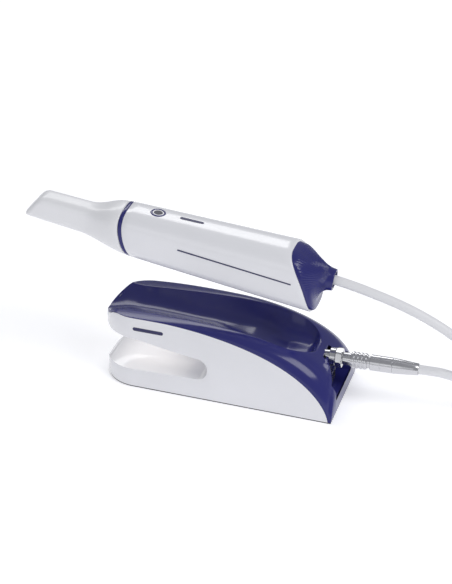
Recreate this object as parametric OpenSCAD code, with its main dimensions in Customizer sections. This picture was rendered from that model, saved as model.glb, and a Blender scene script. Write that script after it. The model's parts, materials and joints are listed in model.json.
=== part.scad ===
// Intraoral camera: a hand-held scanner handpiece, the desktop cradle that
// it docks in, and the lead between them.
// Frame: the origin is the centre of the cradle's underside, +X runs along
// the cradle towards its rear, where the lead plugs in, and +Z is up.
// The handpiece is drawn lifted off the cradle, nose up.

/* [Cradle] */
// Length of the cradle, front to rear
cradle_l = 190; // [184:1:196]
// Width of the cradle at its rear
cradle_w = 80; // [76:1:84]
// Width of the cradle where its round front begins
front_w = 62; // [58:1:66]
// Length of the cradle's round front end
front_r = 30; // [26:1:34]
// Height of the white side at the front
side_h = 62; // [61:0.5:63]
// Height of the navy cover's crest, the highest line of the cradle
crest_h = 62.5; // [62:0.5:64]
// Wall thickness of the mouldings
wall = 2.5; // [2:0.1:3]

/* [Cradle slot and trough] */
// Height of the tongue under the front slot
tongue_h = 17.5; // [16:0.5:19]
// Radius of the slot's closed end
slot_r = 9.2; // [8.5:0.1:9.5]
// Where the slot's round end is centred
slot_x = -13.8; // [-20:0.2:-8]
// Width of the ledge between the cradle's side and the trough
ledge = 11; // [10:0.5:12]
// Where the trough ends at the rear
trough_end = 76; // [74:1:77]

/* [Handpiece] */
// Height of the handpiece's axis at its seam ring
hand_z = 122.7; // [120:0.2:126]
// Place of the seam ring along the cradle
hand_x = -80; // [-84:1:-76]
// Slope of the handpiece, nose up
hand_pitch = 8; // [6:0.1:9]
// Length of the white body from the seam ring to the tail
body_l = 147; // [144:1:150]
// Half height of the body at the seam ring
ring_h = 18.9; // [18.8:0.1:20]
// Half height of the body at the tail
tail_h = 23.3; // [23:0.1:24.5]
// Thickness of the body's wall
skin = 2; // [1.6:0.1:2.4]
// Length of the removable tip
tip_l = 81.5; // [78:0.5:84]

/* [Lead] */
// Diameter of the lead
lead_d = 7.5; // [7:0.1:8]
// Height of the plug's axis
plug_z = 35.5; // [34:0.5:37]
// Radius of the coil, at the middle of its turns
coil_r = 42; // [40:0.5:44]

/* [Hidden] */

eps = 0.01;
half_l = cradle_l / 2;
half_w = cradle_w / 2;
navy = [0.15, 0.16, 0.42];
white = [0.95, 0.95, 0.96];
steel = [0.78, 0.79, 0.81];

// ---------- shared helpers ----------

function smooth(t) = let (s = min(1, max(0, t))) s * s * (3 - 2 * s);
function mix(a, b, t) = a + (b - a) * t;
function spow(v, e) = sign(v) * pow(abs(v), e);
function arc_pts(cx, cy, r, a0, a1, n) =
    [for (i = [0:n]) let (a = mix(a0, a1, i / n)) [cx + r * cos(a), cy + r * sin(a)]];

// A moulded skin with free-form faces, kept as one mesh
module moulded() resize([0, 0, 0]) children();

// A closed solid through rings that all have the same number of points
module loft(rings) {
    n = len(rings[0]);
    m = len(rings);
    pts = [for (r = rings) for (p = r) p];
    sides = [for (j = [0:m - 2]) for (i = [0:n - 1]) let (k = (i + 1) % n)
        each [[j * n + i, (j + 1) * n + k, j * n + k],
              [j * n + i, (j + 1) * n + i, (j + 1) * n + k]]];
    front = [for (i = [1:n - 2]) [0, i, i + 1]];
    back = [for (i = [1:n - 2]) [(m - 1) * n, (m - 1) * n + i + 1, (m - 1) * n + i]];
    polyhedron(points = pts, faces = concat(sides, front, back), convexity = 8);
}

// ---------- cradle shapes ----------

// Top edge of the white side: level in front, a quarter ellipse to the rear
side_x0 = -55;
side_rear = half_l - 2.7;
function side_z(x) = max(1, x < side_x0
    ? side_h - pow((side_x0 - x) / 40, 2)
    : let (t = min(1, (x - side_x0) / (side_rear - side_x0)))
        side_h * pow(1 - t * t, 0.5 + 0.07 * pow(t, 6)));

// Crest of the navy cover, which stays high for longer
crest_rear = half_l + 2.5;
function crest_z(x) = x < side_x0
    ? crest_h - pow((side_x0 - x) / 40, 2)
    : crest_h * pow(max(0, 1 - pow((x - side_x0) / (crest_rear - side_x0), 3.1)), 1 / 2.6);

// Half width of the cradle, whose front end is half an ellipse
function side_half(x) = mix(front_w, cradle_w, (x + half_l - front_r) / (cradle_l - front_r)) / 2;
function plan_half(x) = side_half(x)
    * sqrt(max(0, 1 - pow(max(0, front_r - half_l - x) / front_r, 2)));

module plan(inset = 0) {
    r = front_r - inset;
    end = half_l - inset;
    x0 = front_r - half_l;
    near = [for (i = [0:16]) let (a = 90 * i / 16) [x0 - r * cos(a), (side_half(x0) - inset) * sin(a)]];
    polygon(concat(
        [for (p = near) [p[0], -p[1]]],
        [[end, inset - side_half(end)], [end, side_half(end) - inset]],
        [for (i = [16:-1:1]) near[i]]));
}

// Outline of the open front slot, with the space round it grown by g
slot_roof = 44.4;
tongue_drop = 2.4;
module slot_outline(g = 0) {
    polygon(concat(
        [[-half_l - 5, tongue_h - tongue_drop - g]],
        arc_pts(slot_x, tongue_h + slot_r, slot_r + g, -90, 98, 16),
        [[-43, 39.9 + g], [-62, 43.2 + g], [-80, slot_roof + g], [-half_l - 5, slot_roof + g]]));
}

// Lays a shape drawn in X and Z through the cradle's width
module through(w) rotate([90, 0, 0]) translate([0, 0, -w]) linear_extrude(2 * w) children();

module base_shell() {
    brow_r = 9;
    top_r = 7;
    tongue_top = tongue_h - tongue_drop + 0.2;
    color(white) moulded() difference() {
        translate([0, 0, 1]) linear_extrude(crest_h) plan();
        // the cavity behind the walls, kept clear of the slot's own walls
        difference() {
            translate([0, 0, 1 - eps]) linear_extrude(80) plan(wall);
            through(half_w) slot_outline(wall);
        }
        above_edge();
        cradle_pills(0.03);
        through(half_w + 1) slot_outline();
        // round underside of the brow and round top of the tongue
        through(half_w + 1) difference() {
            translate([-half_l - 5, tongue_h + 1]) square([5 + brow_r, slot_roof + brow_r - tongue_h - 1]);
            translate([brow_r - half_l, slot_roof + brow_r]) circle(r = brow_r, $fn = 64);
        }
        through(half_w + 1) difference() {
            translate([-half_l - 5, tongue_top - top_r]) square([5 + top_r, top_r + 5]);
            translate([top_r - half_l, tongue_top - top_r]) circle(r = top_r, $fn = 64);
        }
    }
}

// Valley of the trough, deeper in its rear pocket
function valley_z(x) = mix(54.8, 51.8, smooth((x + 60) / 60))
    - 5.2 * smooth((x + 10) / 40) - 9.5 * smooth((x - 22) / 30);

// How far the round shoulder reaches in from the side
function reach(x) = 8 + 12 * smooth(x / 80);
pocket_l = 30;
function trough_half(x) = max(2, (side_half(x) - ledge + 5 * smooth((-70 - x) / 20))
    * sqrt(max(0, 1 - pow(max(0, x - trough_end + pocket_l) / pocket_l, 2))));

// Height of the cover without its trough, and with it
function shoulder_z(x, y) = let (r = reach(x), t = max(0, y - side_half(x) + r) / r)
    side_z(x) + (crest_z(x) - side_z(x)) * sqrt(max(0, 1 - t * t));
function cover_z(x, y) = let (tw = trough_half(x), rim = shoulder_z(x, tw),
        depth = max(0, rim - valley_z(x)) * smooth((trough_end - x) / 9),
        bend = mix(1.7, 4, smooth((x + 10) / 60)))
    y >= tw ? shoulder_z(x, y) : rim - depth * (1 - pow(y / tw, bend));

// Where the white side ends and the cover begins
function skin_z(x) = mix(1.4, wall, smooth((x + 92) / 24));
function edge_z(x) = min(side_z(x), cover_z(x, max(0, plan_half(x) - wall)) - 0.6,
    x < -91 ? cover_z(x, 0) - skin_z(x) - 0.1 : side_h);

// The skin's underside, deeper below a steep wall and never below the floor
function under_z(x, y, floor) =
    let (z = cover_z(x, y), s = min(2.5, abs(cover_z(x, y + 0.5) - cover_z(x, max(0, y - 0.5)))))
    min(z - 0.6, max(floor, z - skin_z(x) * sqrt(1 + s * s)));

// Half of the cover's cross-section, from its side edge to the middle: the
// outer face for g = 0, the face underneath for g = wall
function cover_half(x, g) =
    let (half = plan_half(x), low = edge_z(x), inner = min(trough_half(x), half - wall - 3),
         filled = x > half_l - wall,
         ys = concat([for (i = [1:7]) inner + (half - g - inner) * (g == 0 ? cos(90 * i / 7) : 1 - i / 7)],
                     [for (i = [1:10]) inner * (1 - i / 10)]))
    concat([[half - g, low]], [for (y = ys)
        [y, g == 0 ? cover_z(x, y) : filled ? low + 0.05 : under_z(x, y, y > inner ? low : 0)]]);

// Both halves at x, from +Y over the top to -Y
function cover_line(x, g) = let (right = cover_half(x, g)) concat(
    [for (p = right) [x, p[0], p[1]]],
    [for (i = [len(right) - 2:-1:0]) [x, -right[i][0], right[i][1]]]);
function reversed(list) = [for (i = [len(list) - 1:-1:0]) list[i]];

cover_stations = concat(
    [for (a = [14:11:80]) front_r * (1 - cos(a)) - half_l],
    [for (x = [-64:8:40]) x],
    [for (x = [45:4:65]) x],
    [68, 70.5, 73, trough_end, 78, 80.5, 83, 86, 88.5, 90.5, 91.8, half_l - wall + 0.2, 93.8, half_l]);

// The skin between the two faces
module cover_skin() loft([for (x = cover_stations)
    concat(cover_line(x, 0), reversed(cover_line(x, wall)))]);

// Everything above the white side's top edge
module above_edge() through(half_w + 1) polygon(concat(
    [[-half_l - 5, edge_z(cover_stations[0])]],
    [for (x = cover_stations) [x, edge_z(x) < 1.6 ? 0 : edge_z(x)]],
    [[half_l + 5, 0], [half_l + 5, 95], [-half_l - 5, 95]]));

// The rear end as a full block, a little inside the outer face
module cover_rear() loft([for (x = cover_stations) if (x > trough_end)
    let (line = cover_line(x, 0), last = len(line) - 2)
    [for (p = concat([[x, line[1][1], 4]], [for (i = [1:last]) line[i]], [[x, line[last][1], 4]]))
        [min(x, half_l - 0.3), p[1] * 0.99, max(4, p[2] - 0.3)]]]);

// The recess at the rear that the socket stands in
recess_x = 84;
module recess_outline(g = 0) {
    r = 10 + g;
    polygon(concat(
        arc_pts(0, plug_z, r, 0, 180, 16),
        [[-26.5 - g, 26], [-24 - g, 11.5 - g], [24 + g, 11.5 - g], [26.5 + g, 26]]));
}
module recess_block(g, x0) translate([x0, 0, 0]) rotate([90, 0, 90])
    linear_extrude(20) recess_outline(g);

module cradle_cover() {
    color(navy) moulded() difference() {
        union() {
            cover_skin();
            intersection() {
                cover_rear();
                recess_block(1.8, recess_x - 2);
            }
        }
        recess_block(0, recess_x);
        translate([recess_x - 5, 0, plug_z]) rotate([0, 90, 0]) cylinder(d = 10.4, h = 8, $fn = 48);
        translate([recess_x - 5, -6.1, host_z - 5.6]) cube([8, 12.2, 11.2]);
    }
}

module base_plate() {
    color([0.25, 0.25, 0.27]) difference() {
        translate([0, 0, 1]) linear_extrude(2) plan(wall + 0.2);
        for (x = [-60, 70], y = [-26, 26]) translate([x, y, 0]) cylinder(d = 3.4, h = 4, $fn = 32);
    }
}

module anti_slip_pad() {
    color([0.3, 0.31, 0.33]) linear_extrude(1) plan(0.8);
}

module ballast_plate() {
    color(steel) translate([-70, -24, 3]) cube([120, 48, 6]);
}

module base_screws() {
    color(steel) for (x = [-60, 70], y = [-26, 26]) translate([x, y, 1]) {
        cylinder(d = 3.3, h = 9, $fn = 32);
    }
}

module dock_board() {
    color([0.05, 0.35, 0.2]) translate([72, -15, 10]) cube([1.6, 30, 24]);
}

// Square host socket low in the recess
host_z = 19.5;
module host_socket() {
    color(steel) difference() {
        translate([recess_x - 9, -6, host_z - 5.5]) cube([12, 12, 11]);
        translate([recess_x - 7.5, -4.25, host_z - 3.9]) cube([12, 8.5, 7.8]);
    }
}

module socket_body() {
    color(steel) translate([recess_x, 0, plug_z]) rotate([0, 90, 0]) difference() {
        union() {
            translate([0, 0, -2.5]) cylinder(d = 10, h = 12.5, $fn = 64);
            cylinder(d = 14, h = 4.6, $fn = 64);
        }
        translate([0, 0, -4.5]) cylinder(d = 8.6, h = 22, $fn = 64);
    }
}

module socket_nut() {
    color(steel) translate([recess_x + 5, 0, plug_z]) rotate([0, 90, 0]) difference() {
        cylinder(d = 16, h = 4.6, $fn = 6);
        translate([0, 0, -1]) cylinder(d = 10.04, h = 6, $fn = 64);
    }
}

module cradle_pills(g = 0) {
    taper = atan((cradle_w - front_w) / 2 / (cradle_l - front_r));
    for (s = [-1, 1]) translate([-64, s * (side_half(-64) - 0.1), 52.5])
        rotate([90, 0, s * taper]) translate([0, 0, -0.25 - g]) linear_extrude(0.5 + 2 * g) hull()
            for (x = [0, 22]) translate([x, 0]) circle(d = 3 + 2 * g, $fn = 32);
}
module cradle_mark() {
    color(navy) cradle_pills();
}

// ---------- handpiece shapes ----------
// Local frame: u runs from nose to tail along the axis, v is up, y is across

module on_handpiece() translate([hand_x, 0, hand_z]) rotate([0, hand_pitch, 0]) children();

// A rounded-square ring of half sizes hy and hz; lean shears it along u
function ring(u, hy, hz, n, v0 = 0, lean = 0, bow = 0, count = 36) =
    [for (i = [0:count - 1])
        let (a = 360 * i / count, y = hy * spow(cos(a), 2 / n), v = v0 + hz * spow(sin(a), 2 / n))
        [u + lean * v + bow * pow(v / hz, 2), y, v]];

body_lift = 0.3;
seam_u = 3.4;
seam_lean = -0.3;
seam_bow = 3.5;
tail_lean = -0.52;
tail_bow = -3;
function body_half(u) = mix(ring_h, tail_h, u / body_l);

// The body between two fractions of its length, inset by g
module body_solid(g = 0, over = 0) {
    steps = 6;
    loft([for (i = [0:steps])
        let (t = i / steps, h = body_half(t * body_l) - g,
             u = mix(seam_u, body_l, t) + (i == 0 ? -over : i == steps ? over : 0))
        ring(u, h - 0.2, h, 3, body_lift, mix(seam_lean, tail_lean, t), mix(seam_bow, tail_bow, t))]);
}

button_u = 24;
button_v = body_half(button_u) + body_lift;
module at_button() translate([button_u, 0, button_v]) rotate([0, -1.6, 0]) children();

module handpiece_shell() {
    color(white) on_handpiece() moulded() difference() {
        body_solid();
        body_solid(skin, 1);
        at_button() translate([0, 0, -6]) cylinder(d = 12, h = 10, $fn = 64);
        stripes(0.02);
        mark_solid(0.02);
    }
}

seam_w = 3.1;
module seam_ring() {
    h = ring_h - 0.25;
    color(navy) on_handpiece() moulded() difference() {
        loft([for (u = [-seam_w, -0.14]) ring(seam_u + u, h - 0.2, h, 3, body_lift, seam_lean, seam_bow)]);
        loft([for (u = [-seam_w - 1, 1])
            ring(seam_u + u, h - 3.4, h - 3.2, 3, body_lift, seam_lean, seam_bow)]);
    }
}

// The tip: square to the seam ring at its rear, a slim snout in front
tip_rear = seam_u - seam_w - 0.3;
snout_y = 10.4;
snout_top = 11.2;
snout_low = 11;
nose_low = 8.4;
nose_lean = 0.65;
function tip_ring(u, g) =
    let (low_t = smooth((u + 34) / 34), top_t = smooth((u + 31) / 30),
         nose_t = min(1, max(0, (-30 - u) / (tip_l - 30))),
         low = mix(mix(snout_low, nose_low, nose_t), ring_h - body_lift - 0.5, low_t),
         top = mix(snout_top, ring_h + body_lift - 0.5, top_t),
         wide = mix(snout_y, ring_h - 0.7, (low_t + top_t) / 2))
    ring(u + tip_rear, wide - g, (top + low) / 2 - g, mix(4, 3, low_t), (top - low) / 2,
        seam_lean * low_t, seam_bow * low_t);

module tip_solid(g, over) {
    mid = (snout_top - nose_low) / 2;
    tall = (snout_top + nose_low) / 2;
    nose = [for (k = [[0, 3.4], [0.9, 1.4], [2.6, 0.3], [4.5, 0]])
        ring(k[0] + g - tip_l + (tall - mid) * nose_lean, snout_y - 0.1 - g - k[1],
             tall - g - k[1], 4, mid, nose_lean)];
    loft(concat(nose, [for (u = [-46, -38, -32, -27, -22, -17, -12, -7, -3, 0]) tip_ring(u, g)],
        over > 0 ? [[for (p = tip_ring(0, g)) p + [over, 0, 0]]] : []));
}

window_u0 = -73;
module tip_sleeve() {
    color(white) on_handpiece() moulded() difference() {
        tip_solid(0, 0);
        tip_solid(1.7, 1);
        translate([window_u0, -7, -14]) cube([20, 14, 11]);
    }
}

module tip_mirror() {
    color([0.75, 0.8, 0.85]) on_handpiece() translate([-68.6, 0, 1.4]) rotate([0, -56, 0])
        translate([-8.5, -7, -0.5]) cube([17, 14, 1]);
}

module nose_collar() {
    h = ring_h - 4.6;
    color([0.2, 0.2, 0.22]) on_handpiece() moulded() difference() {
        loft([ring(-14, h - 2.6, h - 2.6, 3, body_lift), ring(-6, h, h, 3, body_lift),
              ring(10, h, h, 3, body_lift)]);
        translate([-16, 0, -2]) rotate([0, 90, 0]) cylinder(d = 19, h = 32, $fn = 64);
    }
}

module nose_glass() {
    color([0.7, 0.85, 0.9, 0.4]) on_handpiece() translate([-12.8, 0, -2]) rotate([0, 90, 0])
        cylinder(d = 18.9, h = 1.5, $fn = 64);
}

module chassis() {
    color([0.35, 0.36, 0.38]) on_handpiece() {
        difference() {
            translate([13, -10.5, -15]) cube([119, 21, 5]);
            translate([12, -9, -13.5]) cube([121, 18, 5]);
        }
    }
}

module lens_barrel() {
    color([0.12, 0.12, 0.13]) on_handpiece() translate([10, 0, -2]) rotate([0, 90, 0]) difference() {
        cylinder(d = 18, h = 42, $fn = 64);
        translate([0, 0, -1]) cylinder(d = 15, h = 44, $fn = 64);
    }
}

module objective_lens() {
    color([0.6, 0.7, 0.9, 0.5]) on_handpiece() translate([14, 0, -2]) rotate([0, 90, 0])
        cylinder(d = 14.9, h = 4, $fn = 64);
}

module projector_module() {
    color([0.2, 0.2, 0.25]) on_handpiece() translate([36.5, -7, 8]) cube([17.5, 14, 8]);
}

module sensor_board() {
    color([0.05, 0.35, 0.2]) on_handpiece() translate([53, -11, -9.8]) cube([1.6, 22, 15.3]);
}

module main_board() {
    color([0.05, 0.35, 0.2]) on_handpiece() translate([58, -10.5, -9.5]) cube([70, 21, 1.6]);
}

module heat_sink() {
    color(steel) on_handpiece() translate([64, -9, -7.9]) {
        cube([36, 18, 2]);
        for (i = [0:5]) translate([0, i * 3.3, 0]) cube([36, 1.5, 11]);
    }
}

module button_bezel() {
    color(navy) on_handpiece() at_button() translate([0, 0, -3.2]) difference() {
        cylinder(d = 11.9, h = 3.6, $fn = 64);
        translate([0, 0, -1]) cylinder(d = 9.4, h = 6, $fn = 64);
    }
}

module button_cap() {
    color(white) on_handpiece() at_button() difference() {
        union() {
            translate([0, 0, -1.8]) cylinder(d = 8.9, h = 2.1, $fn = 64);
            translate([0, 0, -3.4]) cylinder(d = 3, h = 2, $fn = 32);
        }
        translate([0, 0, -0.5]) cylinder(d = 5.2, h = 2, $fn = 48);
    }
}

module button_dot() {
    color([0.1, 0.1, 0.15]) on_handpiece() at_button() translate([0, 0, -0.5])
        cylinder(d = 5.16, h = 0.75, $fn = 48);
}

module dome_switch() {
    color(steel) on_handpiece() at_button() translate([0, 0, -6.2]) cylinder(d1 = 6, d2 = 4, h = 1.8, $fn = 48);
}

module button_board() {
    color([0.05, 0.35, 0.2]) on_handpiece() at_button() translate([-9, -6, -7.4]) cube([20, 12, 1.2]);
}

// Thin navy line along both sides of the body
stripe_u = [48, 138];
stripe_v = [4.5, 2.6];
module stripes(g = 0) {
    for (s = [-1, 1]) hull() for (i = [0, 1])
        translate([stripe_u[i], s * (body_half(stripe_u[i]) - 0.35), stripe_v[i]])
            cube([0.4 + g, 0.9, 0.9 + g], center = true);
}
module pinstripe() {
    color(navy) on_handpiece() stripes();
}

module mark_solid(g = 0) {
    h = body_half(51) + body_lift;
    translate([43, 0, h - 0.45]) rotate([0, -1.6, 0]) linear_extrude(0.6 + g) hull()
        for (x = [0, 16]) translate([x, 0]) circle(d = 3 + g, $fn = 32);
}
module handpiece_mark() {
    color(navy) on_handpiece() mark_solid();
}

// Tail cap: place, lean, half size, lift and squareness of each ring
cap_rings = [
    [0, -0.52, 21.9, 0.3, 3], [1.4, -0.52, 21.7, 0.3, 3], [3.2, -0.48, 20.8, 0.5, 3],
    [5, -0.4, 18.8, 0.8, 2.8], [6.8, -0.28, 16, 1.3, 2.5], [9, -0.16, 13.2, 1.9, 2.3],
    [11.8, -0.08, 10.8, 2.5, 2.1], [15, -0.02, 9.2, 2.9, 2], [19.5, 0, 8.4, 3.1, 2]
];
nozzle_v = 3.1;
module tail_cap() {
    color(navy) on_handpiece() moulded() difference() {
        loft([for (i = [0:len(cap_rings) - 1]) let (k = cap_rings[i])
            ring(body_l + k[0], k[2], k[2], k[4], k[3], k[1], tail_bow * max(0, 1 - i / 5))]);
        loft([for (k = [cap_rings[0], cap_rings[2], cap_rings[4]])
            ring(body_l + k[0] - 2.5, k[2] - 3, k[2] - 3, k[4], k[3], k[1], tail_bow / 2)]);
        translate([body_l - 5, 0, nozzle_v]) rotate([0, 90, 0]) cylinder(d = 12.6, h = 40, $fn = 64);
    }
}

module cable_grommet() {
    color([0.1, 0.1, 0.14]) on_handpiece() translate([body_l + 6, 0, nozzle_v]) rotate([0, 90, 0])
        difference() {
            cylinder(d = 12.5, h = 12, $fn = 64);
            translate([0, 0, -1]) cylinder(d = lead_d + 0.3, h = 14, $fn = 64);
        }
}

module lead_header() {
    color([0.9, 0.9, 0.85]) on_handpiece() translate([118, -6, -7.9]) cube([8, 12, 6]);
}

// ---------- plug and lead ----------

module on_plug(x) translate([x, 0, plug_z]) rotate([0, 90, 0]) children();

plug_x0 = recess_x + 10.2;
module plug_body() {
    color(steel) on_plug(plug_x0) difference() {
        union() {
            translate([0, 0, -12]) cylinder(d = 8.2, h = 13, $fn = 64);
            cylinder(d = 9.6, h = 22, $fn = 64);
            translate([0, 0, 21.4]) cylinder(d = 12.4, h = 17.4, $fn = 64);
        }
        translate([0, 0, -13]) cylinder(d = 6.6, h = 9, $fn = 48);
        translate([0, 0, 6]) cylinder(d = lead_d + 0.6, h = 40, $fn = 48);
    }
}

module plug_pins() {
    color([0.85, 0.7, 0.3]) on_plug(plug_x0) {
        translate([0, 0, -10]) cylinder(d = 6.56, h = 5, $fn = 48);
        for (a = [0:60:300]) rotate(a) translate([2, 0, -11.5]) cylinder(d = 0.8, h = 2, $fn = 16);
    }
}

module release_sleeve() {
    color(steel) on_plug(plug_x0 + 6.2) difference() {
        union() {
            cylinder(d = 11.6, h = 13, $fn = 64);
            for (i = [0:3]) translate([0, 0, 1 + i * 3.1]) cylinder(d = 13, h = 1.9, $fn = 64);
        }
        translate([0, 0, -1]) cylinder(d = 9.8, h = 16, $fn = 64);
    }
}

module plug_back_nut() {
    color(steel) on_plug(plug_x0 + 38.8) difference() {
        union() {
            cylinder(d = 12.4, h = 2, $fn = 64);
            translate([0, 0, 2]) cylinder(d1 = 12, d2 = 9.4, h = 18, $fn = 64);
        }
        translate([0, 0, -1]) cylinder(d = lead_d + 0.6, h = 24, $fn = 48);
    }
}

// Route of the lead. The first point is inside the tail nozzle, the last one inside the plug.
lead_r = lead_d / 2;
coil_at = [268, 8];
run_pts = [
    [79, 0, 103.5], [86, 0, 102.5], [94, 0, 100.9], [104, 0, 98.6], [115, 0, 95.6],
    [127, 0, 92.1], [139, 0, 88.1], [151, 0, 83.3], [163, 0, 77.6], [175, 0, 70.9],
    [186, -0.3, 63.4], [196, -1.3, 55], [205, -3.4, 46], [212, -7, 37], [217.5, -12, 28.6],
    [222, -17.4, 20.8], [226, -22.3, 14.2], [230, -27.2, 8.9], [234.4, -32, 5.6]
];
back_pts = [
    [234.4, 48, 12.3], [227, 41.8, 11], [219.5, 35.2, 10.8], [212.3, 28.2, 12.8],
    [205.4, 21, 16.6], [198.5, 14, 21.4], [191.5, 7.8, 26.6], [184, 3.2, 31],
    [176, 0.8, 33.9], [168, 0, 35.3], [158, 0, plug_z], [148, 0, plug_z], [138, 0, plug_z],
    [128, 0, plug_z], [118, 0, plug_z]
];

// A tube along a route, square to it at every point
function unit(v) = v / norm(v);
function heading(p, i) = unit(p[min(i + 1, len(p) - 1)] - p[max(i - 1, 0)]);
module sweep(p, r, sides) {
    loft([for (i = [0:len(p) - 1])
        let (d = heading(p, i), a = unit(cross([0, 0, 1], d)), b = cross(d, a))
        [for (k = [0:sides - 1]) let (t = 360 * k / sides) p[i] + r * (cos(t) * a + sin(t) * b)]]);
}

module cable_run() {
    color(white) sweep(run_pts, lead_r, 10);
}

module cable_return() {
    color(white) sweep(back_pts, lead_r, 10);
}

module cable_coil() {
    color(white) translate([coil_at[0], coil_at[1], 0]) rotate_extrude($fn = 96)
        translate([coil_r, lead_d + 1]) square([28, 2 * lead_d], center = true);
}

module cable_tie() {
    color(navy) translate([coil_at[0] + coil_r, coil_at[1], 0]) difference() {
        translate([-15, -5, 0]) cube([30, 10, 17]);
        translate([-14.1, -6, 0.9]) cube([28.2, 12, 15.2]);
    }
}

base_shell();
cradle_cover();
base_plate();
anti_slip_pad();
ballast_plate();
base_screws();
dock_board();
host_socket();
socket_body();
socket_nut();
cradle_mark();
handpiece_shell();
seam_ring();
tip_sleeve();
tip_mirror();
nose_collar();
nose_glass();
chassis();
lens_barrel();
objective_lens();
projector_module();
sensor_board();
main_board();
heat_sink();
button_bezel();
button_cap();
button_dot();
dome_switch();
button_board();
pinstripe();
handpiece_mark();
tail_cap();
cable_grommet();
lead_header();
plug_body();
plug_pins();
release_sleeve();
plug_back_nut();
cable_run();
cable_coil();
cable_return();
cable_tie();
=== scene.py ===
"""Scanner handpiece lying in its desktop cradle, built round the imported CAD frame.

Shapes are worked out in millimetres with the CAD's own formulas, on finer
meshes, and put into Blender in metres.
"""
import json
import math

import bmesh
import bpy
from mathutils import Matrix, Vector


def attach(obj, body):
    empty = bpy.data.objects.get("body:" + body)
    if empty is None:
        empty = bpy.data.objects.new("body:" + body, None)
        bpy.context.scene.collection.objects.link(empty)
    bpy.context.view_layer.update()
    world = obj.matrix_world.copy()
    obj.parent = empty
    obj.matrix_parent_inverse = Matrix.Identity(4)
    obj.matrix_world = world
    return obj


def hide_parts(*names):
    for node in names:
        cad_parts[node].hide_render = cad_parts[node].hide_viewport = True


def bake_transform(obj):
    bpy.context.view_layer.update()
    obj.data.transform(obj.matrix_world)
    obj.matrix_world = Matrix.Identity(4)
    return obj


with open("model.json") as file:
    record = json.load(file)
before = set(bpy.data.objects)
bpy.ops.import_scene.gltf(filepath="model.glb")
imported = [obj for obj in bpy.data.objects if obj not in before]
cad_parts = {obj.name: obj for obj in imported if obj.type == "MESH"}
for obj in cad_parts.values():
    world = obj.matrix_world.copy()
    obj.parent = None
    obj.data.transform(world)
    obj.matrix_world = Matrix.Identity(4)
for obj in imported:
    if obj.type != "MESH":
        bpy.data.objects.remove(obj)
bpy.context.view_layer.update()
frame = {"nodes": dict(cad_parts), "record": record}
NODES = frame["nodes"]


MM = 0.001
SCENE = bpy.context.scene

# ---------------------------------------------------------------- camera
AZIMUTH, ELEVATION = math.radians(16.52), math.radians(29.14)
FOCAL_PX, IMAGE_H, SENSOR = 2000.0, 584.0, 36.0
CAMERA_AT = Vector((0.3817, -1.2862, 0.8266))
back = Vector((
    math.sin(AZIMUTH) * math.cos(ELEVATION),
    -math.cos(AZIMUTH) * math.cos(ELEVATION),
    math.sin(ELEVATION),
))
right = Vector((math.cos(AZIMUTH), math.sin(AZIMUTH), 0))
up = back.cross(right)
camera_data = bpy.data.cameras.new("camera")
camera_data.sensor_width = SENSOR
camera_data.sensor_height = SENSOR
camera_data.lens = FOCAL_PX * SENSOR / IMAGE_H
camera_data.clip_start, camera_data.clip_end = 0.05, 20
camera = bpy.data.objects.new("camera", camera_data)
pose = Matrix((right, up, back)).transposed().to_4x4()
pose.translation = CAMERA_AT
camera.matrix_world = pose
SCENE.collection.objects.link(camera)
SCENE.camera = camera


# ---------------------------------------------------------------- numbers
def mix(a, b, t):
    return a + (b - a) * t


def clamp(t, lo=0.0, hi=1.0):
    return min(hi, max(lo, t))


def smooth(t):
    s = clamp(t)
    return s * s * (3 - 2 * s)


def spow(v, e):
    return math.copysign(abs(v) ** e, v)


def arc(cx, cy, r, a0, a1, n):
    """Points along an arc, its angles in degrees."""
    turn = [math.radians(mix(a0, a1, i / n)) for i in range(n + 1)]
    return [(cx + r * math.cos(a), cy + r * math.sin(a)) for a in turn]


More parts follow.
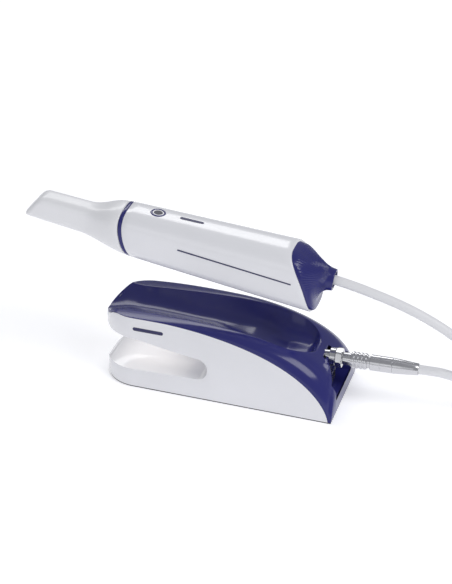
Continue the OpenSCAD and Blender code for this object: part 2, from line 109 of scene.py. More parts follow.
# ---------------------------------------------------------------- materials
def finish(name, colour, rough, metallic=0.0, coat=0.0, grain=900.0, bump=0.02,
           tone=0.03, wear=0.04, weave=False, **inputs):
    """A moulded or metal surface: slight tone, gloss and relief variation."""
    m = bpy.data.materials.new(name)
    m.use_nodes = True
    tree = m.node_tree
    link, new = tree.links.new, tree.nodes.new
    shader = tree.nodes["Principled BSDF"]
    shader.inputs["Metallic"].default_value = metallic
    shader.inputs["Coat Weight"].default_value = coat
    shader.inputs["Coat Roughness"].default_value = 0.06
    for key, value in inputs.items():
        shader.inputs[key.replace("_", " ")].default_value = value
    place = new("ShaderNodeTexCoord")
    broad = new("ShaderNodeTexNoise")
    broad.inputs["Scale"].default_value = 14
    broad.inputs["Detail"].default_value = 4
    link(place.outputs["Object"], broad.inputs["Vector"])
    ramp = new("ShaderNodeValToRGB")
    ramp.color_ramp.elements[0].position = 0.3
    ramp.color_ramp.elements[1].position = 0.7
    ramp.color_ramp.elements[0].color = [c * (1 - tone) for c in colour] + [1]
    ramp.color_ramp.elements[1].color = [min(1, c * (1 + tone)) for c in colour] + [1]
    link(broad.outputs["Fac"], ramp.inputs["Fac"])
    link(ramp.outputs["Color"], shader.inputs["Base Color"])
    streaks = new("ShaderNodeTexNoise")
    streaks.inputs["Scale"].default_value = 60
    streaks.inputs["Detail"].default_value = 6
    link(place.outputs["Object"], streaks.inputs["Vector"])
    gloss = new("ShaderNodeMapRange")
    gloss.inputs["To Min"].default_value = max(0.02, rough - wear)
    gloss.inputs["To Max"].default_value = min(1, rough + wear)
    link(streaks.outputs["Fac"], gloss.inputs["Value"])
    link(gloss.outputs["Result"], shader.inputs["Roughness"])
    fine = new("ShaderNodeTexWave" if weave else "ShaderNodeTexNoise")
    fine.inputs["Scale"].default_value = grain
    if weave:
        fine.inputs["Distortion"].default_value = 1.5
    else:
        fine.inputs["Detail"].default_value = 3
    link(place.outputs["Object"], fine.inputs["Vector"])
    relief = new("ShaderNodeBump")
    relief.inputs["Strength"].default_value = bump
    relief.inputs["Distance"].default_value = 0.0002
    link(fine.outputs["Fac"], relief.inputs["Height"])
    link(relief.outputs["Normal"], shader.inputs["Normal"])
    return m


NAVY = (0.022, 0.023, 0.150)
MATS = {
    "white_plastic": finish("white_plastic", (0.80, 0.80, 0.83), 0.24, coat=0.5),
    "tip_plastic": finish("tip_plastic", (0.82, 0.82, 0.84), 0.34, coat=0.2),
    "navy_plastic": finish("navy_plastic", NAVY, 0.17, coat=0.12, tone=0.06,
                           Specular_IOR_Level=0.32),
    "navy_ink": finish("navy_ink", (0.014, 0.014, 0.085), 0.4, tone=0.06),
    "dark_plastic": finish("dark_plastic", (0.012, 0.012, 0.035), 0.4),
    "pad_rubber": finish("pad_rubber", (0.09, 0.09, 0.10), 0.75, bump=0.3, grain=1500),
    "plain_steel": finish("plain_steel", (0.62, 0.62, 0.63), 0.3, metallic=1),
    "board_green": finish("board_green", (0.01, 0.10, 0.04), 0.35, bump=0.1, tone=0.2),
    "plated_metal": finish("plated_metal", (0.58, 0.58, 0.60), 0.2, metallic=1),
    "mirror_glass": finish("mirror_glass", (0.9, 0.9, 0.92), 0.03, metallic=1, wear=0.01),
    "clear_glass": finish("clear_glass", (0.95, 0.97, 0.98), 0.04, wear=0.02,
                          Transmission_Weight=1.0, IOR=1.5),
    "light_alloy": finish("light_alloy", (0.7, 0.71, 0.72), 0.38, metallic=1),
    "black_alloy": finish("black_alloy", (0.02, 0.02, 0.022), 0.45, metallic=0.6),
    "header_plastic": finish("header_plastic", (0.75, 0.72, 0.6), 0.5),
    "contact_gold": finish("contact_gold", (0.83, 0.6, 0.25), 0.2, metallic=1),
    "lead_jacket": finish("lead_jacket", (0.78, 0.78, 0.80), 0.42, bump=0.08, grain=1200),
    "tie_fabric": finish("tie_fabric", (0.03, 0.03, 0.15), 0.9, bump=0.9, grain=900,
                         weave=True),
}
for row in frame["record"]["subparts"]:
    mesh = NODES[row["node"]].data
    mesh.materials.clear()
    mesh.materials.append(MATS[row["material_slot"]])


# ---------------------------------------------------------------- mesh tools
def loft(rings):
    """Quads between rings of equal length, with a fan over each end."""
    n = len(rings[0])
    verts = [p for r in rings for p in r]
    faces = band(n, len(rings))
    for first, flip in ((0, True), ((len(rings) - 1) * n, False)):
        rim = [verts[first + i] for i in range(n)]
        verts.append(tuple(sum(p[k] for p in rim) / n for k in range(3)))
        hub = len(verts) - 1
        for i in range(n):
            edge = (first + i, first + (i + 1) % n)
            faces.append((edge[1], edge[0], hub) if flip else (edge[0], edge[1], hub))
    return verts, faces


def band(n, count, closed=False):
    """Faces between count rings of n points, back to the first if closed."""
    faces = []
    for j in range(count if closed else count - 1):
        low, high = j * n, (j + 1) % count * n
        for i in range(n):
            k = (i + 1) % n
            faces.append((low + i, low + k, high + k, high + i))
    return faces


def hoop(rings):
    """A closed skin whose rings run round from outside to inside."""
    return [p for r in rings for p in r], band(len(rings[0]), len(rings), True)


def prism(outline, lo, hi, place):
    """An outline run from lo to hi; place(a, b, c) gives a point."""
    n = len(outline)
    verts = [place(a, b, c) for c in (lo, hi) for a, b in outline]
    faces = band(n, 2) + [tuple(range(n))[::-1], tuple(range(n, 2 * n))]
    return verts, faces


def lathe(profile, at, axis="x", n=96):
    """Rings of (place along the axis, radius), about a line through at."""
    rings = []
    for s, r in profile:
        ring_points = []
        for i in range(n):
            a = 2 * math.pi * i / n
            c, d = r * math.cos(a), r * math.sin(a)
            ring_points.append((at[0] + s, at[1] + c, at[2] + d) if axis == "x" else (c, d, s))
        rings.append(ring_points)
    return rings


def mesh_object(name, shape):
    verts, faces = shape
    mesh = bpy.data.meshes.new(name)
    mesh.from_pydata([Vector(v) * MM for v in verts], [], faces)
    bm = bmesh.new()
    bm.from_mesh(mesh)
    bmesh.ops.remove_doubles(bm, verts=bm.verts, dist=1e-6)
    bmesh.ops.recalc_face_normals(bm, faces=bm.faces)
    bm.to_mesh(mesh)
    bm.free()
    obj = bpy.data.objects.new(name, mesh)
    SCENE.collection.objects.link(obj)
    return obj


def settle(obj):
    """Applies every modifier of obj."""
    graph = bpy.context.evaluated_depsgraph_get()
    mesh = bpy.data.meshes.new_from_object(obj.evaluated_get(graph))
    obj.modifiers.clear()
    obj.data = mesh


def carve(obj, shape, how="DIFFERENCE"):
    """Cuts a shape out of obj, or keeps only what they share."""
    tool = shape if isinstance(shape, bpy.types.Object) else mesh_object("tool", shape)
    step = obj.modifiers.new("carve", "BOOLEAN")
    step.operation, step.solver, step.object = how, "EXACT", tool
    bpy.context.view_layer.update()
    settle(obj)
    bpy.data.objects.remove(tool)
    return obj


def ease(obj, width, segments=3, angle=40):
    """Rounds the edges sharper than angle."""
    step = obj.modifiers.new("ease", "BEVEL")
    step.width, step.segments = width * MM, segments
    step.limit_method, step.angle_limit = "ANGLE", math.radians(angle)
    step.use_clamp_overlap = True
    bpy.context.view_layer.update()
    settle(obj)


def done(obj, body, slot, nodes=(), angle=38):
    """Shades, finishes and mounts a piece on its CAD body."""
    mesh = obj.data
    mesh.shade_smooth()
    mesh.set_sharp_from_angle(angle=math.radians(angle))
    mesh.materials.clear()
    mesh.materials.append(MATS[slot])
    if body:
        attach(obj, body)
    if nodes:
        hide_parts(*nodes)
    return obj


# ---------------------------------------------------------------- lead route
LEAD_D = 7.5
COIL_X, COIL_Y, COIL_R, COIL_SWING = 268.0, 8.0, 42.0, 10.25
RUN = [
    (79, 0, 103.5), (86, 0, 102.5), (94, 0, 100.9), (104, 0, 98.6), (115, 0, 95.6),
    (127, 0, 92.1), (139, 0, 88.1), (151, 0, 83.3), (163, 0, 77.6), (175, 0, 70.9),
    (186, -0.3, 63.4), (196, -1.3, 55), (205, -3.4, 46), (212, -7, 37),
    (217.5, -12, 28.6), (222, -17.4, 20.8), (226, -22.3, 14.2), (230, -27.2, 8.9),
    (234.4, -32, 5.6),
]
BACK = [
    (234.4, 48, 12.3), (227, 41.8, 11), (219.5, 35.2, 10.8), (212.3, 28.2, 12.8),
    (205.4, 21, 16.6), (198.5, 14, 21.4), (191.5, 7.8, 26.6), (184, 3.2, 31),
    (176, 0.8, 34), (168, 0, 35.5), (158, 0, 35.5), (148, 0, 35.5), (138, 0, 35.5),
    (128, 0, 35.5), (118, 0, 35.5),
]
TURNS = 2060.0 / 360.0
COIL_STEPS = 120


def coil_point(t):
    """In at the outside low down, round to the inside, up and out again."""
    a = math.radians(230 + 360 * TURNS * t)
    r = COIL_R + COIL_SWING * (abs(2 * t - 1) * 2 - 1)
    z = 4.75 + LEAD_D * smooth((t - 0.46) / 0.08)
    return (COIL_X + r * math.cos(a), COIL_Y + r * math.sin(a), z)


route = RUN + [coil_point(i / COIL_STEPS) for i in range(1, COIL_STEPS)] + BACK


def spline(points, steps):
    """A smooth line through points."""
    out = []
    for i in range(len(points) - 1):
        p = [Vector(points[clamp(i + k, 0, len(points) - 1)]) for k in (-1, 0, 1, 2)]
        for j in range(steps):
            t = j / steps
            out.append(0.5 * (2 * p[1] + (p[2] - p[0]) * t
                              + (2 * p[0] - 5 * p[1] + 4 * p[2] - p[3]) * t * t
                              + (3 * p[1] - p[0] - 3 * p[2] + p[3]) * t ** 3))
    return out + [Vector(points[-1])]


def tube(line, r, n=20):
    """Rings square to a line, carried along it without twist."""
    rings, side = [], Vector((0, 1, 0))
    for i, p in enumerate(line):
        d = (line[min(i + 1, len(line) - 1)] - line[max(i - 1, 0)]).normalized()
        side = (side - d * side.dot(d)).normalized()
        other = d.cross(side)
        turn = [2 * math.pi * k / n for k in range(n)]
        rings.append([tuple(p + r * (math.cos(a) * side + math.sin(a) * other)) for a in turn])
    return rings


# ---------------------------------------------------------------- cradle
HALF_L, FRONT_R, WALL = 95.0, 30.0, 2.5
TONGUE_H, SLOT_R, SLOT_X, SLOT_ROOF = 17.5, 9.2, -13.8, 44.4
RECESS_X, PLUG_Z = 84.0, 35.5
# The top is level up to LEVEL_X, then falls over these lengths to the rear
SIDE_H, CREST_H, LEVEL_X, SIDE_RUN, CREST_RUN = 62, 62.5, -55, 147.3, 152.5
# How much deeper the trough is at its very front than in the CAD node
FRONT_SCOOP = 3


def side_z(x):
    """Top edge of the white side."""
    if x < LEVEL_X:
        return SIDE_H - ((LEVEL_X - x) / 40) ** 2
    t = min(1, (x - LEVEL_X) / SIDE_RUN)
    return max(1, SIDE_H * (1 - t * t) ** (0.5 + 0.07 * t ** 6))


def crest_z(x):
    """Crest of the navy top, which stays high for longer."""
    if x < LEVEL_X:
        return CREST_H - ((LEVEL_X - x) / 40) ** 2
    return CREST_H * max(0, 1 - ((x - LEVEL_X) / CREST_RUN) ** 3.1) ** (1 / 2.6)


def side_half(x):
    return mix(62, 80, (x + 65) / 160) / 2


def plan_half(x):
    return side_half(x) * math.sqrt(max(0, 1 - (max(0, -65 - x) / 30) ** 2))


def valley_z(x):
    """Floor of the trough, lower in its rear pocket and at the front end."""
    return (mix(54.8, 51.8, smooth((x + 60) / 60)) - 5.2 * smooth((x + 10) / 40)
            - 9.5 * smooth((x - 22) / 30) - FRONT_SCOOP * smooth((-70 - x) / 24))


def trough_half(x):
    """Half the trough's width, which ends in a round pocket."""
    inner = side_half(x) - 11 + 5 * smooth((-70 - x) / 20)
    return max(2, inner * math.sqrt(max(0, 1 - (max(0, x - 46) / 30) ** 2)))


def shoulder_z(x, y):
    """Height of the top without its trough."""
    r = 8 + 12 * smooth(x / 80)
    t = clamp(max(0, y - side_half(x) + r) / r)
    return side_z(x) + (crest_z(x) - side_z(x)) * math.sqrt(1 - t * t)


def cover_z(x, y):
    wide = trough_half(x)
    if y >= wide:
        return shoulder_z(x, y)
    rim = shoulder_z(x, wide)
    depth = max(0, rim - valley_z(x)) * smooth((76 - x) / 9)
    bend = mix(1.7, 4, smooth((x + 10) / 60))
    return rim - depth * (1 - (y / wide) ** bend)


def edge_z(x):
    """Where the white side ends and the navy top begins."""
    low = min(side_z(x), cover_z(x, max(0, plan_half(x) - WALL)) - 0.6)
    if x < -91:
        low = min(low, cover_z(x, 0) - mix(1.4, WALL, smooth((x + 92) / 24)) - 0.1)
    return low


def plan(inset, n=48):
    """Outline of the cradle from above, its wall moved in by inset."""
    x0, r, end = FRONT_R - HALF_L, FRONT_R - inset, HALF_L - inset
    wide = side_half(x0) - inset
    near = []
    for i in range(n + 1):
        a = math.pi / 2 * i / n
        near.append((x0 - r * math.cos(a), wide * math.sin(a)))
    far = side_half(end) - inset
    steps = [(mix(x0, end, i / 12), mix(wide, far, i / 12)) for i in range(1, 13)]
    upper = near + steps
    return upper + [(x, -y) for x, y in reversed(upper[1:])]


def upright(a, b, c):
    return (a, b, c)


def across(a, b, c):
    return (a, c, b)


def slot_outline(g=0.0):
    """The open front slot from the side, the space round it grown by g."""
    return ([(-100, TONGUE_H - 2.4 - g)]
            + arc(SLOT_X, TONGUE_H + SLOT_R, SLOT_R + g, -90, 98, 40)
            + [(-43, 39.9 + g), (-62, 43.2 + g), (-80, SLOT_ROOF + g), (-100, SLOT_ROOF + g)])


# Places along the cradle where its top is worked out, closest at both ends
NOSE_ANGLES = (5, 8, 11, 15, 20, 26, 32, 38, 45, 52, 60, 68, 76, 84)
STATIONS = (
    [FRONT_R * (1 - math.cos(math.radians(a))) - HALF_L for a in NOSE_ANGLES]
    + [-65 + 2.0 * i for i in range(68)]
    + [71 + i for i in range(21)]
    + [91.6, 92, 92.4, 92.8, 93.3, 93.9, 94.4, 94.8, 95]
)

shell = mesh_object("cradle_side", prism(plan(0), 1, 64, upright))
cavity = mesh_object("tool", prism(plan(WALL), 0.9, 80, upright))
carve(cavity, prism(slot_outline(WALL), -60, 60, across))
carve(shell, cavity)
side_top = [(x, edge_z(x) if edge_z(x) > 1.6 else 0.5) for x in STATIONS]
above = [(-100, edge_z(STATIONS[0]))] + side_top + [(100, 0.5), (100, 95), (-100, 95)]
carve(shell, prism(above, -61, 61, across))
carve(shell, prism(slot_outline(), -62, 62, across))
brow = arc(-86, SLOT_ROOF + 9, 9, 180, 270, 20)
carve(shell, prism([(-100, SLOT_ROOF + 9)] + brow + [(-86, 40), (-100, 40)], -63, 63, across))
top = TONGUE_H - 2.4 + 0.2
lip = arc(-88, top - 7, 7, 180, 90, 20)
carve(shell, prism([(-100, top - 7)] + lip + [(-88, top + 6), (-100, top + 6)], -63, 63, across))
ease(shell, 0.6)
done(shell, "base", "white_plastic", ["base_shell"], angle=32)

pad = mesh_object("foot_pad", prism(plan(0.3), 0, 1.2, upright))
done(pad, "base", "pad_rubber", ["anti_slip_pad"])


def cover_row(x):
    """Outer face of the cover at x, from +Y over the top to -Y."""
    half = plan_half(x)
    wide = trough_half(x)
    inner = wide if wide < half - 0.8 else half * 0.8
    ys = [inner + (half - inner) * math.cos(math.pi / 2 * i / 16) for i in range(1, 17)]
    ys += [inner * (1 - i / 28) for i in range(1, 29)]
    line = [(x, half, edge_z(x))] + [(x, y, cover_z(x, y)) for y in ys]
    return line + [(x, -y, z) for _, y, z in reversed(line[:-1])]


def sheet(rows):
    """An open grid of points."""
    n = len(rows[0])
    faces = [(j * n + i, j * n + i + 1, (j + 1) * n + i + 1, (j + 1) * n + i)
             for j in range(len(rows) - 1) for i in range(n - 1)]
    return [p for r in rows for p in r], faces


cover_rows = [cover_row(x) for x in STATIONS]
rear = [(x, y, 1.0) for x, y, z in cover_rows[-1]]
cover = mesh_object("cradle_top", sheet(cover_rows + [rear]))


def recess_outline(g=0.0, n=40):
    """The rear recess seen along the plug."""
    return arc(0, PLUG_Z, 10 + g, 0, 180, n) + [
        (-26.5 - g, 26), (-24 - g, 11.5 - g), (24 + g, 11.5 - g), (26.5 + g, 26)]


def lengthwise(a, b, c):
    return (c, a, b)


if cover.data.polygons[len(cover.data.polygons) // 2].normal.z < 0:
    cover.data.flip_normals()
skin = cover.modifiers.new("skin", "SOLIDIFY")
skin.thickness, skin.offset, skin.use_even_offset = 1.2 * MM, -1, False
bpy.context.view_layer.update()
settle(cover)
carve(cover, prism(recess_outline(), 80, 120, lengthwise))
done(cover, "base", "navy_plastic", ["cradle_cover"], angle=75)

block_rows = [row for x, row in zip(STATIONS, cover_rows) if x > 78]
closed_rows = [
    [(r[0][0], r[1][1], 4)] + r[1:-1] + [(r[0][0], r[-2][1], 4)] for r in block_rows]
liner = mesh_object("recess_liner", loft([
    [(min(x, 94.9), y * 0.99, max(4, z - 0.25)) for x, y, z in r] for r in closed_rows]))
carve(liner, prism(recess_outline(1.6), 82.2, 120, lengthwise), "INTERSECT")
carve(liner, prism(recess_outline(), RECESS_X, 121, lengthwise))
done(liner, "base", "navy_plastic", ["cradle_cover"])

# ---------------------------------------------------------------- handpiece
HAND_X, HAND_Z, PITCH = -80.0, 122.7, math.radians(8)
BODY_L, RING_H, TAIL_H, LIFT = 147.0, 18.9, 23.3, 0.3
SEAM_U, SEAM_LEAN, SEAM_BOW, SEAM_W = 3.4, -0.3, 3.5, 3.1
TAIL_LEAN, TAIL_BOW = -0.52, -3.0
TIP_L = 81.5


def hand(p):
    """From the handpiece's frame: along it from nose to tail, across, up."""
    u, y, v = p
    c, s = math.cos(PITCH), math.sin(PITCH)
    return (HAND_X + u * c + v * s, y, HAND_Z - u * s + v * c)


def ring(u, hy, hz, n, v0=0.0, lean=0.0, bow=0.0, count=144):
    """A rounded-square ring of half sizes hy and hz."""
    out = []
    for i in range(count):
        a = 2 * math.pi * i / count
        y, w = hy * spow(math.cos(a), 2 / n), hz * spow(math.sin(a), 2 / n)
        v = v0 + w
        out.append((u + lean * v + bow * (v / hz) ** 2, y, v))
    return out


def fluted(u, size, n, v0, lean, bow, depth=0.0, count=576, teeth=72):
    """A rounded-square ring with even steps of angle and fine flutes."""
    out = []
    for i in range(count):
        a = 2 * math.pi * i / count
        c, d = math.cos(a), math.sin(a)
        r = size / (abs(c) ** n + abs(d) ** n) ** (1 / n)
        r -= depth * (0.5 + 0.5 * math.cos(teeth * a))
        v = v0 + r * d
        out.append((u + lean * v + bow * (v / size) ** 2, r * c, v))
    return out


def on_hand(rings):
    return [[hand(p) for p in r] for r in rings]


def body_ring(t, g, du=0.0):
    """A ring of the white body at part t of its length, drawn in by g."""
    h = mix(RING_H, TAIL_H, t) - g
    return ring(mix(SEAM_U, BODY_L, t) + du, h - 0.2, h, 3, LIFT,
                mix(SEAM_LEAN, TAIL_LEAN, t), mix(SEAM_BOW, TAIL_BOW, t))


outer = [body_ring(0, 0.5), body_ring(0, 0.2, 0.12), body_ring(0, 0, 0.5)]
outer += [body_ring(i / 24, 0) for i in range(1, 24)]
outer += [body_ring(1, 0, -0.8), body_ring(1, 0.15, -0.25), body_ring(1, 0.5, 0)]
inner = [body_ring(1, 1.6, 0), body_ring(1, 2, -0.3), body_ring(0.5, 2),
         body_ring(0, 2, 0.3), body_ring(0, 1.5, 0)]
body = mesh_object("handpiece_body", hoop(on_hand(outer + inner)))
BUTTON_U = 24.0
BUTTON_V = mix(RING_H, TAIL_H, BUTTON_U / BODY_L) + LIFT


def at_button(p):
    """From the button's own frame, whose axis is its third number."""
    x, y, z = p
    t = math.radians(-1.6)
    c, s = math.cos(t), math.sin(t)
    return hand((BUTTON_U + x * c + z * s, y, BUTTON_V - x * s + z * c))


def button_rings(profile, n=96):
    return [[at_button(p) for p in r] for r in lathe(profile, (0, 0, 0), "z", n)]


carve(body, loft(button_rings([(-6, 6), (4, 6)])))
done(body, "handpiece", "white_plastic", ["handpiece_shell"], angle=40)

bezel = mesh_object("button_ring", hoop(button_rings([
    (-3.2, 5.95), (0.1, 5.95), (0.32, 5.8), (0.42, 5.5),
    (0.42, 4.85), (0.3, 4.72), (0, 4.7), (-3.2, 4.7)])))
done(bezel, "handpiece", "navy_plastic", ["button_bezel"])
cap = mesh_object("button_top", loft(button_rings([
    (-3.4, 1.5), (-1.8, 1.5), (-1.8, 4.45), (-0.1, 4.45), (0.15, 4.36), (0.3, 4.2),
    (0.32, 3.8), (0.25, 3.45), (0.1, 3.35), (-0.5, 3.35)])))
done(cap, "button", "white_plastic", ["button_cap"])
dot = mesh_object("button_centre", loft(button_rings([
    (-0.5, 3.33), (0.12, 3.33), (0.22, 3.2), (0.27, 2.8), (0.2, 1.2), (0.17, 0.3)])))
done(dot, "button", "dark_plastic", ["button_dot"])

h = RING_H - 0.25
# (place along the axis, how far the ring is drawn in), out and back inside
seam = [(-SEAM_W, 0.55), (-SEAM_W + 0.12, 0.2), (-SEAM_W + 0.45, 0), (-0.45, 0),
        (-0.12, 0.2), (0, 0.55), (0, 3.2), (-SEAM_W, 3.2)]
seam_ring = mesh_object("nose_ring", hoop(on_hand([
    ring(SEAM_U + u, h - g - 0.2, h - g, 3, LIFT, SEAM_LEAN, SEAM_BOW) for u, g in seam])))
done(seam_ring, "handpiece", "navy_plastic", ["seam_ring"])

TIP_REAR, SNOUT_Y, SNOUT_TOP, SNOUT_LOW, NOSE_LOW, NOSE_LEAN = 0.0, 10.4, 11.2, 11.0, 8.4, 0.65


def tip_ring(u, g):
    """A ring of the tip, from the slim snout to the flare at u = 0."""
    low_t, top_t = smooth((u + 34) / 34), smooth((u + 31) / 30)
    nose_t = clamp((-30 - u) / (TIP_L - 30))
    low = mix(mix(SNOUT_LOW, NOSE_LOW, nose_t), RING_H - LIFT - 0.5, low_t)
    top_v = mix(SNOUT_TOP, RING_H + LIFT - 0.5, top_t)
    wide = mix(SNOUT_Y, RING_H - 0.7, (low_t + top_t) / 2)
    return ring(u + TIP_REAR, wide - g, (top_v + low) / 2 - g, mix(4, 3, low_t), (top_v - low) / 2,
                SEAM_LEAN * low_t, SEAM_BOW * low_t)


def nose_ring(k, inset, g):
    """A slanted ring of the rounded nose, k behind its front."""
    mid, tall = (SNOUT_TOP - NOSE_LOW) / 2, (SNOUT_TOP + NOSE_LOW) / 2
    u = k + g - TIP_L + (tall - mid) * NOSE_LEAN
    return ring(u, SNOUT_Y - 0.1 - g - inset, tall - g - inset, 4, mid, NOSE_LEAN)


round_nose = [(0, 5.2), (0.05, 4.0), (0.3, 2.7), (0.9, 1.45),
              (1.7, 0.75), (2.6, 0.3), (3.5, 0.08), (4.5, 0)]
along = [-60, -54, -48, -44, -40, -37, -34.5] + [-32.5 + 1.25 * i for i in range(26)]
outside = [nose_ring(k, i, 0) for k, i in round_nose] + [tip_ring(u, 0) for u in along]
outside += [tip_ring(-0.25, 0.12), tip_ring(0, 0.4)]
inside = [tip_ring(0, 1.7)] + [tip_ring(u, 1.7) for u in reversed(along)]
inside += [nose_ring(k, i, 1.7) for k, i in reversed(round_nose)]
tip = mesh_object("tip_body", loft(on_hand(outside + inside)))
window = prism([(-73, -7), (-53, -7), (-53, 7), (-73, 7)], -14, -3,
               lambda u, y, v: hand((u, y, v)))
carve(tip, window)
done(tip, "tip", "tip_plastic", ["tip_sleeve"], angle=40)

# Tail boot rings: place, lean, half size, lift and squareness
CAP = [(0, -0.52, 21.9, 0.3, 3), (1.4, -0.52, 21.7, 0.3, 3), (3.2, -0.48, 20.8, 0.5, 3),
       (5, -0.4, 18.8, 0.8, 2.8), (6.8, -0.28, 16, 1.3, 2.5), (9, -0.16, 13.2, 1.9, 2.3),
       (11.8, -0.08, 10.8, 2.5, 2.1), (15, -0.02, 9.2, 2.9, 2), (19.5, 0, 8.4, 3.1, 2)]


NOZZLE_V = 3.1


def cap_row(t):
    """A row of the cap between its listed ones, t from 0 to 8."""
    i = min(int(t), len(CAP) - 2)
    f = t - i
    rows = [CAP[clamp(i + k, 0, len(CAP) - 1)] for k in (-1, 0, 1, 2)]
    return [0.5 * (2 * b + (c - a) * f + (2 * a - 5 * b + 4 * c - d) * f * f
                   + (3 * b - a - 3 * c + d) * f ** 3) for a, b, c, d in zip(*rows)]


cap_rings = [fluted(BODY_L - 1.5, 21.2, 3, 0.3, -0.52, TAIL_BOW),
             fluted(BODY_L - 0.2, 21.9, 3, 0.3, -0.52, TAIL_BOW)]
for j in range(1, 65):
    t = j / 8
    k = cap_row(t)
    depth = 0.26 * smooth((t - 1.3) / 0.7) * smooth((7.2 - t) / 0.6)
    cap_rings.append(fluted(BODY_L + k[0], k[2], k[4], k[3], k[1],
                            TAIL_BOW * max(0, 1 - t / 5), depth))
for du, size in ((19.8, 8.1), (19.9, 7.4), (19.5, 6.3), (10, 6.3)):
    cap_rings.append(fluted(BODY_L + du, size, 2, NOZZLE_V, 0, 0))
tail = mesh_object("tail_boot", loft(on_hand(cap_rings)))
done(tail, "handpiece", "navy_plastic", ["tail_cap"], angle=50)

# ---------------------------------------------------------------- plug
PLUG_X = RECESS_X + 10.2


def on_plug(name, x, profile, body_name, node, slot="plated_metal", n=96, angle=30):
    """A turned piece about the plug's axis, its profile run round in a loop."""
    obj = mesh_object(name, hoop(lathe(profile, (x, 0, PLUG_Z), "x", n)))
    return done(obj, body_name, slot, [node], angle)


on_plug("socket_barrel", RECESS_X, [
    (-6, 4.9), (-0.1, 4.9), (0, 5.1), (0, 6.7), (0.3, 7), (4.3, 7), (4.6, 6.7), (4.6, 5),
    (9.7, 5), (10, 4.8), (10, 4.45), (9.8, 4.3), (-4.5, 4.3), (-6, 4.3)], "base", "socket_body")
nut_rings = []
for s, cut in ((0, 0.45), (0.45, 0), (4.15, 0), (4.6, 0.45)):
    nut_rings.append([])
    for i in range(96):
        a = 2 * math.pi * i / 96
        flat = 8 * math.cos(math.pi / 6) / math.cos((a % (math.pi / 3)) - math.pi / 6)
        r = min(flat, 8 - 0.12 - cut)
        nut_rings[-1].append((RECESS_X + 5 + s, r * math.cos(a), PLUG_Z + r * math.sin(a)))
nut_rings += lathe([(4.6, 5.5), (4.3, 5.02), (0, 5.02)], (RECESS_X + 5, 0, PLUG_Z))
nut = mesh_object("socket_hex", hoop(nut_rings))
done(nut, "base", "plated_metal", ["socket_nut"], angle=24)

plug = on_plug("plug_barrel", PLUG_X, [
    (-12, 3.9), (-11.8, 4.1), (0, 4.1), (0, 4.6), (0.2, 4.8), (21.4, 4.8), (21.4, 5.9),
    (21.7, 6.2), (28.9, 6.2), (29.05, 6.05), (29.35, 6.05), (29.5, 6.2), (38.4, 6.2),
    (38.8, 5.9), (38.8, 4.2), (6, 4.05), (6, 3.4), (-12, 3.4)], "plug", "plug_body")
sleeve_profile = [(0, 4.95), (0, 5.6), (0.2, 5.8)]
for i in range(4):
    s = 1 + 3.1 * i
    sleeve_profile += [(s, 5.8), (s + 0.1, 6.3), (s + 0.35, 6.5),
                       (s + 1.55, 6.5), (s + 1.8, 6.3), (s + 1.9, 5.8)]
sleeve_profile += [(12.8, 5.8), (13, 5.6), (13, 4.95)]
sleeve = on_plug("grip_sleeve", PLUG_X + 6.2, sleeve_profile, "sleeve", "release_sleeve")
back_nut = on_plug("cable_nut", PLUG_X + 38.8, [
    (0, 5.9), (0.25, 6.2), (1.8, 6.2), (2, 6), (4, 5.97), (10, 5.5), (16, 4.95),
    (19.6, 4.72), (20, 4.5), (20, 3.95), (0, 3.95)], "plug", "plug_back_nut")

grommet = mesh_object("boot_bush", hoop(on_hand(lathe(
    [(6, 6.2), (17.6, 6.2), (18.2, 5.9), (18.2, 4.2), (17.8, 3.95), (6, 3.95)],
    (BODY_L, 0, NOZZLE_V)))))
done(grommet, "handpiece", "dark_plastic", ["cable_grommet"])

# ---------------------------------------------------------------- lead
line = spline(route, 3)
lead = mesh_object("lead", loft(tube(line, LEAD_D / 2)))
done(lead, None, "lead_jacket", ["cable_run", "cable_coil", "cable_return"], angle=60)
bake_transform(lead)

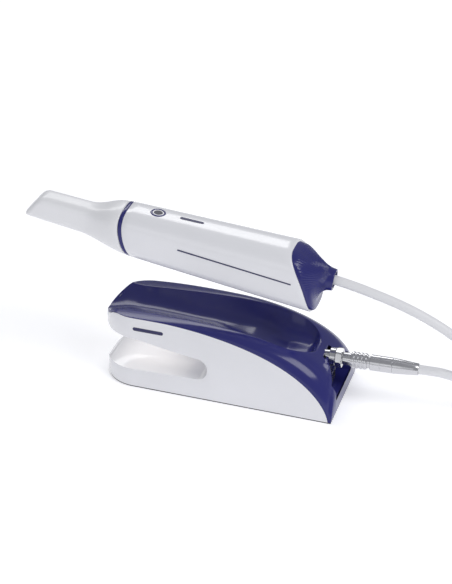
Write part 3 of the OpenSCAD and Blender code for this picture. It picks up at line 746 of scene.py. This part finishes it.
TIE_X, TIE_Z = COIL_X + COIL_R, 8.5
tie_rings = []
for s, wide in ((-5, 0), (-4.6, 0.25), (4.6, 0.25), (5, 0)):
    tie_rings.append([])
    for i in range(96):
        a = 2 * math.pi * i / 96
        c, d = spow(math.cos(a), 2 / 7), spow(math.sin(a), 2 / 7)
        tie_rings[-1].append((TIE_X + (14.4 + wide) * c, COIL_Y + s, TIE_Z + (8.2 + wide) * d))
for s in (5, -5):
    tie_rings.append([(TIE_X + (x - TIE_X) * 0.975, COIL_Y + s, TIE_Z + (z - TIE_Z) * 0.96)
                      for x, _, z in tie_rings[0]])
tie = mesh_object("lead_tie", hoop(tie_rings))
done(tie, "base", "tie_fabric", ["cable_tie"], angle=50)

# ---------------------------------------------------------------- studio
floor = mesh_object("floor", ([(-9000, -9000, -0.02), (9000, -9000, -0.02), (9000, 9000, -0.02),
                               (-9000, 9000, -0.02)], [(0, 1, 2, 3)]))
paper = finish("paper", (0.93, 0.93, 0.95), 0.9, bump=0.01, tone=0.0)
paper.node_tree.nodes["Principled BSDF"].inputs["Specular IOR Level"].default_value = 0
paper.node_tree.nodes["Principled BSDF"].inputs["Emission Color"].default_value = (1, 1, 1, 1)
paper.node_tree.nodes["Principled BSDF"].inputs["Emission Strength"].default_value = 0.37
floor.data.materials.append(paper)


def softbox(name, place, aim, size, power, tint=(1, 1, 1)):
    """An area light out of sight of the camera."""
    data = bpy.data.lights.new(name, "AREA")
    data.shape, data.size, data.size_y = "RECTANGLE", size[0], size[1]
    data.energy, data.color = power, tint
    lamp = bpy.data.objects.new(name, data)
    lamp.location = place
    lamp.visible_camera = False
    lamp.rotation_euler = (Vector(aim) - Vector(place)).to_track_quat("-Z", "Y").to_euler()
    SCENE.collection.objects.link(lamp)


TARGET = (0.02, 0, 0.06)
softbox("key", (0.95, -0.35, 1.35), TARGET, (0.8, 0.8), 10.5)
softbox("front", (-0.4, -1.8, 0.7), TARGET, (1.2, 0.8), 2.0)
softbox("rear", (-0.6, 1.3, 1.2), TARGET, (1.2, 0.5), 6)

softbox("slot", (-0.058, 0, 0.0385), (-0.058, 0, 0.01), (0.055, 0.05), 0.007, (1, 0.95, 0.86))

world = bpy.data.worlds.new("world")
world.use_nodes = True
world.node_tree.nodes["Background"].inputs["Color"].default_value = (0.93, 0.95, 1, 1)
world.node_tree.nodes["Background"].inputs["Strength"].default_value = 0.41
SCENE.world = world
SCENE.view_settings.view_transform = "Standard"
SCENE.view_settings.look = "None"
